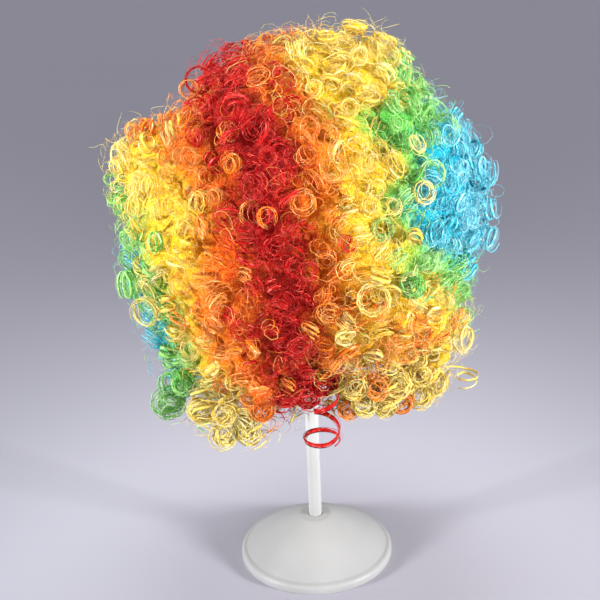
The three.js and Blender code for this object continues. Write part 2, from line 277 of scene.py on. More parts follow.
def head_rest_profile():
    """The dome from its top over the lip to its inside, and down the hub to the socket."""
    inner = head_rest_radius - head_rest_wall
    centre = stand_height - head_rest_radius
    hub_angle = math.asin((head_rest_hub_radius + head_rest_fillet) / inner)
    hub_bottom = centre + inner - head_rest_hub_length
    profile = []
    for step in range(25):
        angle = head_rest_spread * step / 24
        profile.append((head_rest_radius * math.sin(angle), centre + head_rest_radius * math.cos(angle)))
    lip = head_rest_radius - head_rest_wall / 2
    lip_angle = head_rest_spread + head_rest_lip_turn
    profile.append(((lip + head_rest_lip_bulge) * math.sin(lip_angle), centre + lip * math.cos(lip_angle)))
    for step in range(21):
        angle = head_rest_spread + (hub_angle - head_rest_spread) * step / 20
        profile.append((inner * math.sin(angle), centre + inner * math.cos(angle)))
    for step in range(1, 5):
        angle = math.pi / 2 * step / 4
        profile.append((head_rest_hub_radius + head_rest_fillet * (1 - math.sin(angle)),
                        centre + inner * math.cos(hub_angle) - head_rest_fillet * (1 - math.cos(angle))))
    profile += [(head_rest_hub_radius, hub_bottom + socket_chamfer),
                (head_rest_hub_radius - socket_chamfer, hub_bottom),
                (socket_radius, hub_bottom), (socket_radius, hub_bottom + head_rest_socket_depth),
                (0, hub_bottom + head_rest_socket_depth)]
    return profile


plastic = white_plastic()
place_piece("foot", turned("foot", foot_profile(), turning_sides), plastic,
            ["stand_foot"])
place_piece("post", turned("post", post_profile(), post_sides), plastic, ["stand_post"])
place_piece("wig_rest", turned("wig_rest", head_rest_profile(), turning_sides), plastic,
            ["head_rest"])


# Net cap
# A stretch net cap that sits rolled to the wearer's right. It has a folded elastic hem, a band over
# the head from ear to ear, one from brow to nape, and rows of stitched hair track across it.

wig_centre = np.array([0, 0, stand_height - head_rest_radius])
cap_half_width = 0.086
cap_length_ratio = 1.12
cap_wall = 0.0016
cap_skirt_depth = 0.062
cap_skirt_taper = 0.05
cap_hem_height = 0.007
cap_hem_thickness = 0.003
cap_hem_rounding = 0.0008
net_pitch = 0.0021
cap_roll = math.radians(20)
cap_across = np.array([math.cos(cap_roll), 0, math.sin(cap_roll)])
cap_crown = np.array([-math.sin(cap_roll), 0, math.cos(cap_roll)])
cap_front = np.array([0, -1, 0])
track_spacing = 0.013
track_radius = 0.0011
track_sides = 5
track_side_width = 0.001
tape_width = 0.011
tape_thickness = 0.0009
tape_inset = 0.0007
tape_half_angle = 118


def unit(vectors):
    """Vectors scaled to length 1."""
    return vectors / np.maximum(np.linalg.norm(vectors, axis=-1, keepdims=True), 1e-12)


def from_cap(across, forward, height):
    """Points of the wig in the room, from places measured on the rolled cap."""
    places = np.asarray(across)[..., None] * cap_across + np.asarray(height)[..., None] * cap_crown
    return places + np.asarray(forward)[..., None] * cap_front + wig_centre


def cap_width_at(height, half_width):
    dome = np.sqrt(np.maximum(half_width ** 2 - np.maximum(height, 0) ** 2, 0))
    skirt = half_width * (1 - cap_skirt_taper * (height / cap_skirt_depth) ** 2)
    return np.where(height >= 0, dome, skirt)


def mesh_from_arrays(name, points, loops, totals, attributes=()):
    """A smooth mesh from an array of points, one of corner numbers and one of corners to a face."""
    mesh = bpy.data.meshes.new(name)
    mesh.vertices.add(len(points))
    mesh.vertices.foreach_set("co", np.ascontiguousarray(points, np.float32).ravel())
    mesh.loops.add(len(loops))
    mesh.loops.foreach_set("vertex_index", loops.astype(np.int32))
    mesh.polygons.add(len(totals))
    starts = np.concatenate([[0], np.cumsum(totals)[:-1]]).astype(np.int32)
    mesh.polygons.foreach_set("loop_start", starts)
    mesh.polygons.foreach_set("loop_total", totals.astype(np.int32))
    for title, kind, values in attributes:
        field = "vector" if kind == "FLOAT_VECTOR" else "value"
        attribute = mesh.attributes.new(title, kind, "POINT")
        attribute.data.foreach_set(field, np.ascontiguousarray(values, np.float32).ravel())
    mesh.update(calc_edges=True)
    mesh.validate()
    mesh.shade_smooth()
    return mesh


def sweep(paths, outs, profile, widths, heights, closed=False):
    """Points and faces of bodies swept along paths, all with as many steps.

    paths and outs are (bodies, steps, 3): places and the way that the section's back faces there.
    profile is (corners, 2): across and outwards. widths and heights scale it at each step.
    """
    count, steps = paths.shape[:2]
    corners = len(profile)
    if closed:
        along = unit(np.roll(paths, -1, 1) - np.roll(paths, 1, 1))
    else:
        along = unit(np.gradient(paths, axis=1))
    across = unit(np.cross(along, outs))
    back = np.cross(across, along)
    points = (paths[:, :, None]
              + across[:, :, None] * (profile[:, 0] * widths[:, :, None])[..., None]
              + back[:, :, None] * (profile[:, 1] * heights[:, :, None])[..., None])
    numbers = np.arange(count * steps * corners).reshape(count, steps, corners)
    here = numbers if closed else numbers[:, :-1]
    ahead = np.roll(numbers, -1, 1) if closed else numbers[:, 1:]
    quads = np.stack([here, ahead, np.roll(ahead, -1, 2), np.roll(here, -1, 2)], -1)
    loops = [quads.ravel()]
    totals = [np.full(quads.size // 4, 4)]
    if not closed:
        loops += [numbers[:, 0].ravel(), numbers[:, -1, ::-1].ravel()]
        totals += [np.full(2 * count, corners)]
    return points, np.concatenate(loops), np.concatenate(totals)


def cap_net():
    """Beige stretch net: small diamond holes between knitted cords, a little shiny. The holes are painted
    dark brown as shade seen through them.
    """
    finish = Finish("cap_net")
    place = finish.node("Attribute", {"attribute_name": "on_cloth"}, {}, "Vector")
    along = finish.node("SeparateXYZ", {}, {0: place})
    over = finish.node("SeparateXYZ", {}, {0: place}, 1)
    pitch = 2 * math.pi / net_pitch
    first = ((along + over) * pitch).sine()
    second = ((along - over) * pitch).sine()
    shaded_hole = (first * second).between(0.15, 0.55)
    wear = finish.noise(finish.place(), 60, 3)
    cord = finish.blend(wear, (0.56, 0.42, 0.28, 1), (0.74, 0.60, 0.43, 1))
    # Painted shade: the holes are not cut open but coloured dark brown for the shade seen through the net.
    colour = finish.blend(shaded_hole * 0.75, cord, (0.20, 0.14, 0.09, 1))
    normal = finish.bump(1 - shaded_hole, 0.6, 0.0006)
    shader = finish.node("BsdfPrincipled", {}, {
        "Base Color": colour, "Roughness": 0.62 + 0.25 * shaded_hole, "Normal": normal, "Sheen Weight": 0.3})
    return finish.surface(shader)


def net_mesh(name, points, loops, totals, along, over):
    """A mesh of net whose points know their places along and over the cloth."""
    shape = points.shape[:-1]
    cloth = np.stack([np.broadcast_to(along, shape), np.broadcast_to(over, shape), np.zeros(shape)], -1)
    return mesh_from_arrays(name, points.reshape(-1, 3), loops, totals,
                            [("on_cloth", "FLOAT_VECTOR", cloth.reshape(-1, 3))])


def cap_shell():
    """The cap's wall, from the hem's inside up to the crown, over it and down to the hem again."""
    sides = 96
    bottom = -cap_skirt_depth
    hem_top = bottom + cap_hem_height
    hem_inner = cap_half_width * (1 - cap_skirt_taper) - cap_hem_thickness
    profile = [(hem_inner + cap_hem_rounding, bottom), (hem_inner, bottom + cap_hem_rounding),
               (hem_inner, hem_top - 0.001)]
    inner = cap_half_width - cap_wall
    outer = cap_half_width
    profile += [(float(cap_width_at(h, inner)), h) for h in np.linspace(hem_top, 0, 10)]
    turns = np.radians(np.linspace(4, 90, 22))
    profile += [(inner * math.cos(a), inner * math.sin(a)) for a in turns]
    profile += [(outer * math.cos(a), outer * math.sin(a)) for a in turns[::-1]]
    profile += [(float(cap_width_at(h, outer)), h) for h in np.linspace(0, bottom, 12)]
    profile[-1] = (profile[-1][0] - cap_hem_rounding, profile[-1][1])
    profile = np.array(profile)
    around = np.linspace(0, 2 * math.pi, sides, endpoint=False)
    across = profile[None, :, 0] * np.cos(around)[:, None]
    forward = profile[None, :, 0] * np.sin(around)[:, None] * cap_length_ratio
    points = from_cap(across, forward, np.broadcast_to(profile[None, :, 1], across.shape))
    rows = len(profile)
    numbers = np.arange(sides * rows).reshape(sides, rows)
    ahead = np.roll(numbers, -1, 0)
    quads = np.stack([numbers, np.roll(numbers, -1, 1), np.roll(ahead, -1, 1), ahead], -1)
    length = np.concatenate([[0], np.cumsum(np.hypot(*np.diff(profile, axis=0).T))])
    mesh = net_mesh("cap", points, quads.ravel(), np.full(quads.size // 4, 4),
                    around[:, None] * cap_half_width, length[None, :])
    shape = bmesh.new()
    shape.from_mesh(mesh)
    bmesh.ops.remove_doubles(shape, verts=shape.verts, dist=1e-5)
    bmesh.ops.recalc_face_normals(shape, faces=shape.faces)
    shape.to_mesh(mesh)
    shape.free()
    mesh.shade_smooth()
    return mesh


def cap_tracks():
    """The stitched rows on the inside of the cap."""
    steps = 72
    around = np.linspace(0, 2 * math.pi, steps, endpoint=False)
    inside = cap_half_width - cap_wall - track_radius * 0.2
    heights = np.arange(-cap_skirt_depth + 0.015, cap_half_width * 0.9, track_spacing)
    radii = cap_width_at(heights, inside)
    wave = 1 + 0.004 * np.sin(around * 24)[None]
    across = radii[:, None] * np.cos(around) * wave
    forward = radii[:, None] * np.sin(around) * cap_length_ratio * wave
    rings = from_cap(across, forward, np.broadcast_to(heights[:, None], across.shape))
    outs = unit(rings - from_cap(0 * across, 0 * across, 0.5 * heights[:, None] + 0 * across))
    angles = 2 * math.pi * np.arange(track_sides) / track_sides
    profile = np.stack([np.cos(angles), np.sin(angles)], 1)
    size = np.full(rings.shape[:2], track_radius)
    points, loops, totals = sweep(rings, outs, profile, size * 1.4, size * 0.7, closed=True)
    return net_mesh("tracks", points, loops, totals, around[None, :, None] * cap_half_width,
                    np.arange(track_sides) * track_side_width)


def cap_tapes():
    """The two flat tapes inside the cap, one from ear to ear and one from brow to nape."""
    steps = 61
    angle = np.radians(np.linspace(-tape_half_angle, tape_half_angle, steps))
    inside = cap_half_width - cap_wall - tape_inset
    height = np.where(np.abs(angle) < math.pi / 2, inside * np.cos(angle),
                      -(np.abs(angle) - math.pi / 2) * inside * 0.9)
    reach = np.where(np.abs(angle) < math.pi / 2, inside * np.sin(angle),
                     np.sign(angle) * cap_width_at(height, inside))
    none = np.zeros(steps)
    paths = np.stack([from_cap(reach, none, height), from_cap(none, reach * cap_length_ratio, height)])
    outs = unit(paths - wig_centre)
    profile = np.array([(-0.5, -0.5), (0.5, -0.5), (0.5, 0.5), (-0.5, 0.5)])
    widths = np.full(paths.shape[:2], tape_width)
    heights = np.full(paths.shape[:2], tape_thickness)
    points, loops, totals = sweep(paths, outs, profile, widths, heights)
    mesh = net_mesh("tapes", points, loops, totals, np.linspace(0, 0.3, steps)[None, :, None],
                    profile[:, 0] * tape_width)
    mesh.set_sharp_from_angle(angle=math.radians(40))
    return mesh


net = cap_net()
place_piece("net_cap", cap_shell(), net, ["wig_cap"])
place_piece("hair_tracks", cap_tracks(), net)
place_piece("cap_tapes", cap_tapes(), net)


# Shape and stripes of the hair
# The curls fill one big uneven ball round the cap. Eight lines from brow to nape part its colours:
# blue, green, yellow, orange and red, and the same back again on the other side.

hair_radius = 0.177
hem_drop = 0.150
hem_softness = 0.3
broad_heap = 0.032
narrow_heap = 0.022
outline_tilt = math.radians(24)
outline_around = np.array([0, 22, 45, 67, 90, 112, 135, 157, 180, 202, 227, 247, 270, 292, 315, 337, 360.0])
outline_reach = np.array([0.97, 0.99, 0.93, 1.04, 1.02, 0.95, 0.855, 1.06, 0.96, 1.0, 1.08, 1.06, 0.90,
                          0.97, 1.05, 0.91, 0.97])
stripe_rounds = np.array([0, 25, 45, 60, 80, 100, 125, 150, 180.0])
stripe_edges = {
    "green_right": [-72, -72, -68, -64, -64, -62, -62, -62, -64],
    "yellow_right": [-56, -55, -49, -46, -50, -48, -49, -50, -52],
    "orange_right": [-34, -31, -25, -23, -36, -37, -32, -33, -34],
    "red_right": [-15, -14, -12, -12, -17, -20, -23, -22, -20],
    "red_left": [4, 7, 12, 11, 4, 0, -8, -12, -6],
    "orange_left": [15, 18, 21, 20, 16, 9, -1, -4, 4],
    "yellow_left": [50, 54, 34, 40, 32, 26, 41, 40, 41],
    "green_left": [66, 68, 60, 53, 41, 37, 51, 52, 52],
}
orange_patches = [((0.47, -0.79, -0.39), 0.24), ((0.27, -0.94, -0.21), 0.13)]
patch_pull = 4.5
patch_tint = 0.5
golden_angle = 137.50776
panels = ["blue_right", "green_right", "yellow_right", "orange_right", "red",
          "orange_left", "yellow_left", "green_left", "blue_left"]


def read_table(stations, values, at):
    """Values of a table at stations between its rows, easing from row to row."""
    values = np.asarray(values, float)
    row = np.clip(np.searchsorted(stations, at, side="right") - 1, 0, len(stations) - 2)
    part = np.clip((at - stations[row]) / (stations[row + 1] - stations[row]), 0, 1)
    part = part * part * (3 - 2 * part)
    return values[row] + (values[row + 1] - values[row]) * part


def hair_reach(directions):
    """How far the curls reach from the wig's middle."""
    x, y, z = directions.T
    up = z * math.cos(outline_tilt) + y * math.sin(outline_tilt)
    around = np.degrees(np.arctan2(up, x)) % 360
    outline = read_table(outline_around, outline_reach, around)
    heaps = (broad_heap * np.sin(5.1 * x + 2.2 * y + 1.0) * np.sin(4.7 * z - 1.4 * y)
             + narrow_heap * np.sin(8.3 * y + 3.1 * z) * np.cos(7.1 * x - 0.6))
    reach = hair_radius * (1 + (outline - 1) * np.hypot(x, up) ** 3 + heaps)
    drop = np.maximum(-z * reach, 1e-6)
    soft_drop = hem_drop + (drop - hem_drop) * hem_softness
    return np.where(drop > hem_drop, reach * soft_drop / drop, reach)


def stripe_place(directions):
    """Angle to the side of the middle plane, and angle from the crown to the front, in degrees."""
    side = np.degrees(np.arcsin(np.clip(directions @ cap_across, -1, 1)))
    turn = np.degrees(np.arctan2(directions @ cap_front, directions @ cap_crown))
    return side, turn


def patch_share(directions):
    """How far orange curls have worked into the yellow in each direction, 0 to 1."""
    share = np.zeros(len(directions))
    for middle, width in orange_patches:
        angle = np.arccos(np.clip(directions @ unit(np.array(middle)), -1, 1))
        share = np.maximum(share, np.exp(-(angle / width) ** 2))
    return share


def panel_of(directions, shift):
    """The number of the colour panel that each direction lies in, with its side angle shifted."""
    side, turn = stripe_place(directions)
    edges = [read_table(stripe_rounds, row, np.abs(turn)) for row in stripe_edges.values()]
    owners = (side + shift > np.array(edges)).sum(0)
    worked_in = np.abs(shift) < patch_pull * patch_share(directions)
    return np.where(worked_in, panels.index("orange_left"), owners)


def even_directions(total):
    """Directions spread evenly over a ball."""
    count = np.arange(total)
    height = 1 - (2 * count + 1) / total
    level = np.sqrt(1 - height * height)
    turn = np.radians(count * golden_angle)
    return np.stack([level * np.cos(turn), level * np.sin(turn), height], 1)


# Packed hair
# Under the loose ringlets each colour is a dense pile of curls round the cap. It takes the form of its
# solid, with the ends of the big locks pressed down, and the curls in it show as small round heaps.
# Shares are of the hair's reach, and the tint of each pile eases into its neighbours' at the borders.

pile_voxel = 0.0060
pile_limit = 0.87
pile_press = 0.15
pile_swell = 0.0016
pile_sway = 0.0055
pile_sway_share = 0.75
pile_hem_extra = 0.10
pile_hem_start = 0.45
pile_hem_range = 0.2
tint_softness = 2.2
tint_sway = 2.4
heap_count = 900
heap_height = 0.005
heap_radius = 0.013
heap_skin = 0.80
heap_skin_range = 0.05

# The last shade of each colour is both its palest fibre colour and the colour of the painted highlight
# glints on the fibres.
hair_colours = {
    "blue": {"deep": (0.0, 0.17, 0.22), "main": (0.01, 0.41, 0.55), "pale": (0.19, 0.70, 0.84),
             "palest_and_glint": (0.75, 0.96, 1.0), "gloss": 0.45},
    "green": {"deep": (0.02, 0.25, 0.03), "main": (0.12, 0.55, 0.07), "pale": (0.48, 0.86, 0.26),
              "palest_and_glint": (0.86, 1.0, 0.66), "gloss": 0.45},
    "yellow": {"deep": (0.84, 0.38, 0.004), "main": (1.0, 0.64, 0.025), "pale": (1.0, 0.87, 0.24),
               "palest_and_glint": (1.0, 0.97, 0.76), "gloss": 0.5},
    "orange": {"deep": (0.62, 0.05, 0.002), "main": (0.92, 0.17, 0.006), "pale": (1.0, 0.40, 0.05),
               "palest_and_glint": (1.0, 0.80, 0.45), "gloss": 0.45},
    "red": {"deep": (0.17, 0.001, 0.002), "main": (0.44, 0.003, 0.005), "pale": (0.78, 0.025, 0.022),
            "palest_and_glint": (1.0, 0.22, 0.17), "gloss": 0.2},
}


def colour_of(panel):
    return panel.split("_")[0]


def pile_material(name):
    """Packed curls: fine strands that run in rings round each heap, in the tint of the place."""
    finish = Finish(name + "_packed_hair")
    place = finish.place()
    tint = finish.node("Attribute", {"attribute_name": "tint"}, {}, "Color")
    deep = finish.stretch(finish.node("Gamma", {}, {"Color": tint, "Gamma": 1.5}), (0.82, 0.82, 0.82))
    pale = finish.node("Gamma", {}, {"Color": tint, "Gamma": 0.5})
    warp = finish.noise(place, 70, 3, output="Color")
    moved = finish.node("Mix", {"data_type": "VECTOR"}, {"Factor": 0.03, 4: place, 5: warp}, 1)
    cell = finish.node("TexVoronoi", {}, {"Vector": moved, "Scale": 58})
    rings = (cell * 40 + 3 * finish.noise(place, 130, 2)).sine() * 0.5 + 0.5
    fine = finish.noise(place, 240, 4, 0.75, 2.6).between(0.38, 0.64)
    strand = rings * 0.45 + fine * 0.55
    colour = finish.blend(strand.between(0.05, 0.5), deep, tint)
    colour = finish.blend(strand.between(0.55, 1.0) * 0.8, colour, pale)
    shader = finish.node("BsdfPrincipled", {}, {
        "Base Color": colour, "Roughness": 0.36 + 0.25 * fine,
        "Normal": finish.bump(strand, 1.0, 0.0014), "Specular IOR Level": 0.12, "Subsurface Weight": 0.25,
        "Subsurface Radius": (1.0, 0.7, 0.5), "Subsurface Scale": 0.0015})
    return finish.surface(shader)


def blended_tints(headings):
    """The main colour of the hair in each direction, easing into the next one near each edge."""
    side, turn = stripe_place(headings)
    x, y, z = headings.T * 9
    side = side + tint_sway * (np.sin(z + 2 * np.sin(y)) + np.sin(1.7 * x + 2.3 * z))
    colours = np.array([hair_colours[colour_of(panel)]["main"] for panel in panels])
    mixed = np.tile(colours[0], (len(headings), 1))
    for number, row in enumerate(stripe_edges.values()):
        edge = read_table(stripe_rounds, row, np.abs(turn))
        share = 1 / (1 + np.exp((edge - side) / tint_softness))
        mixed += share[:, None] * (colours[number + 1] - mixed)
    worked_in = patch_tint * patch_share(headings)[:, None]
    return mixed + worked_in * (hair_colours["orange"]["main"] - mixed)


def swayed(places):
    """Places moved a little to and fro, so that the colours part along wavy lines."""
    x, y, z = places.T * 150
    return places + pile_sway * np.stack([np.sin(z + 2 * np.sin(y * 0.7)), np.sin(x + 1.3 * np.sin(z * 0.8)),
                                          np.sin(y + 1.6 * np.sin(x * 0.9))], 1)


def packed_hair(panel, heaps):
    """The pile of one colour, as a fine closed mesh made from its solid."""
    node = "hair_" + panel
    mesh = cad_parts[node].data.copy()
    shape = bmesh.new()
    shape.from_mesh(mesh)
    bmesh.ops.remove_doubles(shape, verts=shape.verts, dist=2e-5)
    shape.to_mesh(mesh)
    shape.free()
    rough = bpy.data.objects.new("rough", mesh)
    bpy.context.scene.collection.objects.link(rough)
    remesh = rough.modifiers.new("even", "REMESH")
    remesh.mode = "VOXEL"
    remesh.voxel_size = pile_voxel
    graph = bpy.context.evaluated_depsgraph_get()
    fine = bpy.data.meshes.new_from_object(rough.evaluated_get(graph))
    bpy.data.objects.remove(rough)
    places, normals = np.zeros((2, len(fine.vertices) * 3), np.float32)
    fine.vertices.foreach_get("co", places)
    fine.vertices.foreach_get("normal", normals)
    offset = places.reshape(-1, 3) + pile_swell * normals.reshape(-1, 3) - wig_centre
    share = np.linalg.norm(offset, axis=1) / hair_reach(unit(offset))
    offset = np.where(share[:, None] > pile_sway_share, swayed(offset), offset)
    far = np.linalg.norm(offset, axis=1)
    heading = offset / far[:, None]
    reach = hair_reach(heading)
    share = far / reach
    low = np.clip((-heading[:, 2] - pile_hem_start) / pile_hem_range, 0, 1)
    limit = pile_limit + pile_hem_extra * low
    pressed = np.where(share > limit, limit + (share - limit) * pile_press, share)
    skin = np.clip((share - heap_skin) / heap_skin_range, 0, 1)
    near = np.array([heaps.find(point)[2] for point in heading * hair_radius])
    rise = heap_height * (1 - np.clip(near / heap_radius, 0, 1) ** 2) - heap_height * 0.5
    far_now = pressed * reach + skin * rise
    fine.vertices.foreach_set("co", (heading * far_now[:, None] + wig_centre).astype(np.float32).ravel())
    tint = fine.attributes.new("tint", "FLOAT_VECTOR", "POINT")
    tint.data.foreach_set("vector", blended_tints(heading).astype(np.float32).ravel())
    fine.update()
    fine.shade_smooth()
    return fine


heap_tree = kdtree.KDTree(heap_count)
for number, heading in enumerate(even_directions(heap_count)):
    heap_tree.insert(heading * hair_radius, number)
heap_tree.balance()

pile_materials = {colour: pile_material(colour) for colour in hair_colours}
for panel in panels:
    place_piece("pile_" + panel, packed_hair(panel, heap_tree), pile_materials[colour_of(panel)],
                ["hair_" + panel])


# Ringlets
# Each lock is a thin band of shiny straight fibre set into a coil by heat, in a loose bundle of single
# strands. They stand out of the pile in all directions and mix a little where two colours meet.

ringlet_count = 895
ringlet_radius = (0.0065, 0.0125)
ringlet_turns = (1.2, 2.0)
ringlet_pitch = (0.0035, 0.0095)
ringlet_lean = (5, 100)
band_steps = 19
band_width = (0.0009, 0.0038)
band_thickness = 0.0008
strand_steps = 15
strand_count = 6
strand_radius = (0.00015, 0.00034)
strand_spread = 0.0052
strand_spread_noise = 0.0008
strand_nesting = 0.20
strand_lean = 0.17
strand_turn_noise = 0.1
strand_phase_noise = 0.35
strand_sway = (0.0003, 0.0022)
strand_tone_lift = 0.08
strand_tone_noise = 0.18
band_sway = 0.0006
lock_ends = (0.55, 0.35)
lock_droop = 0.25
ringlet_tone = (0.15, 0.80)
ringlet_seat = (0.925, 1.0)
ringlet_clearance = 0.001
ringlet_scatter = 0.018
stripe_mixing = 4.2
hem_roll = math.radians(8)
hem_reach = math.radians(52)
random = np.random.default_rng(7)


def fibre_material(colour):
    """Shiny synthetic fibre: fine lines along the lock, light let through, and pale glints at the bends
    painted into its colour as highlights.
    """
    shades = hair_colours[colour]
    finish = Finish(colour + "_fibre")
    fibre = finish.node("Attribute", {"attribute_name": "fibre"}, {}, "Vector")
    tone = finish.node("Attribute", {"attribute_name": "tone"}, {}, "Fac")
    lines = finish.noise(finish.stretch(fibre, (60, 9, 31)), 1, 3, 0.7).between(0.32, 0.68)
    sheen = finish.noise(finish.stretch(fibre, (160, 3, 17)), 1, 2, 0.5)
    # Painted highlight: where this noise is high the colour is pushed up the ramp to its near-white top, as
    # glints on the fibre.
    painted_glint = sheen.between(0.57, 0.64) * 0.85
    light = tone * 0.55 + lines * 0.40 + painted_glint
    colour_out = finish.node("ValToRGB", {"stops": [
        (0.0, shades["deep"]), (0.35, shades["main"]), (0.78, shades["pale"]), (1.0, shades["palest_and_glint"])]},
        {"Fac": light})
    normal = finish.bump(lines, 0.5, 0.0005)
    gloss = finish.node("BsdfPrincipled", {}, {
        "Base Color": colour_out, "Roughness": 0.10 + 0.2 * sheen, "Normal": normal, "IOR": 1.55,
        "Specular IOR Level": shades["gloss"], "Specular Tint": (*shades["pale"], 1)})
    through = finish.node("BsdfTranslucent", {}, {"Color": colour_out, "Normal": normal})
    mixed = finish.node("MixShader", {}, {"Fac": 0.14, 1: gloss, 2: through})
    return finish.surface(mixed)


def frames_across(axes):
    """Two unit vectors at right angles to each axis."""
    helper = np.where(np.abs(axes[:, 2:]) < 0.9, [[0, 0, 1.0]], [[1.0, 0, 0]])
    first = unit(np.cross(axes, helper))
    return first, np.cross(axes, first)


def coils(steps, start, axis, radius, turns, length, phase, droop, shift, sway, ends=lock_ends):
    """Centre lines of coils, (coils, steps, 3), and the ways that their outsides face.

    ends has the share of the radius that a coil starts with and the share that it loses at its tip.
    """
    part = np.linspace(0, 1, steps)[None, :]
    first, second = frames_across(axis)
    angle = phase[:, None] + turns[:, None] * 2 * math.pi * part
    size = radius[:, None] * (ends[0] + (1 - ends[0]) * np.minimum(1, part * 3)) * (1 - ends[1] * part ** 3)
    size = size + sway[:, None] * (0.4 + part) * np.sin(part * 9 + phase[:, None] * 4)
    out = np.cos(angle)[..., None] * first[:, None] + np.sin(angle)[..., None] * second[:, None]
    rise = length[:, None] * part + shift[:, None] * (0.5 + 0.8 * part)
    places = start[:, None] + axis[:, None] * rise[..., None] + out * size[..., None]
    places[..., 2] -= droop[:, None] * part ** 2
    return places, out


def lock_bodies(places, outs, profile, width, height, tones):
    """Swept locks with their fibre coordinates and tones, ready to be joined."""
    part = np.linspace(0, 1, places.shape[1])[None, :]
    taper = np.minimum(1, 0.35 + part * 5) * np.minimum(1, 0.3 + (1 - part) * 4)
    points, loops, totals = sweep(places, outs, profile, width[:, None] * taper, height[:, None] * taper)
    length = np.linalg.norm(np.diff(places, axis=1), axis=2).cumsum(1)
    length = np.concatenate([np.zeros((len(places), 1)), length], 1)
    shape = points.shape[:3]
    fibre = np.stack([np.broadcast_to(length[..., None], shape),
                      np.broadcast_to(profile[:, 0], shape),
                      np.broadcast_to((np.arange(len(places)) % 97 / 9.7)[:, None, None], shape)], -1)
    tone = np.broadcast_to((tones[:, None] + 0.25 * part ** 2)[..., None], shape)
    return points, loops, totals, fibre, tone


def joined(name, bodies):
    """One mesh from several sets of swept locks."""
    points, loops, totals, fibres, tones = [], [], [], [], []
    start = 0
    for body_points, body_loops, body_totals, fibre, tone in bodies:
        points.append(body_points.reshape(-1, 3))
        loops.append(body_loops + start)
        totals.append(body_totals)
        fibres.append(fibre.reshape(-1, 3))
        tones.append(tone.reshape(-1))
        start += len(points[-1])
    return mesh_from_arrays(name, np.concatenate(points), np.concatenate(loops), np.concatenate(totals),
                            [("fibre", "FLOAT_VECTOR", np.concatenate(fibres)),
                             ("tone", "FLOAT", np.concatenate(tones))])


def scaled(count, limits, power=1.0):
    return limits[0] + (limits[1] - limits[0]) * random.random(count) ** power


def ringlet_sizes(count):
    """The random sizes of as many ringlets."""
    return {
        "radius": scaled(count, ringlet_radius),
        "turns": scaled(count, ringlet_turns),
        "pitch": scaled(count, ringlet_pitch),
        "lean": np.radians(scaled(count, ringlet_lean)),
        "phase": scaled(count, (0, 2 * math.pi)),
        "band": scaled(count, band_width, 2.2),
        "tone": scaled(count, ringlet_tone),
        "seat": scaled(count, ringlet_seat),
        "shift": random.normal(0, stripe_mixing, count),
    }


def ringlet_places(headings, sizes):
    """Where ringlets start and which way they run, so that they end at the hair's reach."""
    count = len(headings)
    down = np.array([0, 0, -1.0]) + headings * headings[:, 2:]
    loose = unit(random.normal(size=(count, 3)))
    loose -= headings * (loose * headings).sum(1, keepdims=True)
    flat = unit(1.1 * down + unit(loose))
    lean = sizes["lean"][:, None]
    axis = unit(headings * np.cos(lean) + flat * np.sin(lean))
    length = sizes["pitch"] * sizes["turns"]
    out = length * np.maximum(np.cos(sizes["lean"]), 0) + sizes["radius"] * np.abs(np.sin(sizes["lean"]))
    far = hair_reach(headings) * sizes["seat"] - out - ringlet_clearance
    return headings * far[:, None] + wig_centre, axis, length


diamond = np.array([(-0.5, 0), (0, -0.5), (0.5, 0), (0, 0.5)])
triangle = np.array([(math.cos(a), math.sin(a)) for a in (0.5, 2.6, 4.7)])[::-1]


def ringlet_bodies(start, axis, length, sizes, strands=strand_count, nesting=strand_nesting,
                   leaning=strand_lean, ends=lock_ends, thickness=strand_radius):
    """The bands and the loose strands of some ringlets."""
    count = len(start)
    still = np.zeros(count)
    droop = lock_droop * length * np.abs(np.sin(sizes["lean"]))
    places, outs = coils(band_steps, start, axis, sizes["radius"], sizes["turns"], length,
                         sizes["phase"], droop, still, still + band_sway, ends)
    bodies = [lock_bodies(places, outs, diamond, sizes["band"], still + band_thickness, sizes["tone"])]
    for strand in range(strands):
        shift = (strand / (strands - 1) - 0.5) * strand_spread
        shift = shift + random.normal(0, strand_spread_noise, count)
        places, outs = coils(
            strand_steps, start, unit(axis + random.normal(0, leaning, axis.shape)),
            sizes["radius"] * (1 - np.abs(random.normal(0, nesting, count))),
            sizes["turns"] * (1 + random.normal(0, strand_turn_noise, count)), length,
            sizes["phase"] + random.normal(0, strand_phase_noise, count), droop, shift,
            scaled(count, strand_sway, 2), ends)
        thick = scaled(count, thickness)
        tones = np.clip(sizes["tone"] + random.normal(strand_tone_lift, strand_tone_noise, count), 0, 1)
        bodies.append(lock_bodies(places, outs, triangle, thick, thick, tones))
    return bodies


def chosen(sizes, mask):
    return {name: values[mask] for name, values in sizes.items()}


def above_hem(total, scatter):
    """Directions spread over the hair above its hem, each moved a little at random."""
    headings = even_directions(total)
    headings = headings[headings @ hem_up > -math.sin(hem_reach)]
    return unit(headings + random.normal(0, scatter, headings.shape))


def place_locks(name, colour, bodies):
    """Puts swept locks of one colour in the scene as one piece."""
    place_piece(name, joined(name, bodies), fibre_materials[colour])


hem_up = np.array([-math.sin(hem_roll), 0, math.cos(hem_roll)])
headings = above_hem(ringlet_count, ringlet_scatter)
sizes = ringlet_sizes(len(headings))
starts, axes, lengths = ringlet_places(headings, sizes)
owners = panel_of(headings, sizes["shift"])
fibre_materials = {colour: fibre_material(colour) for colour in hair_colours}
for number, panel in enumerate(panels):
    mask = owners == number
    bodies = ringlet_bodies(starts[mask], axes[mask], lengths[mask], chosen(sizes, mask))
    place_locks("ringlets_" + panel, colour_of(panel), bodies)


# Single fibres
# Under and between the ringlets lie single curved fibres. Others have come loose: they lie over the
# curls like a veil and stand off them as a halo. Lengths are in metres, seats shares of the reach.

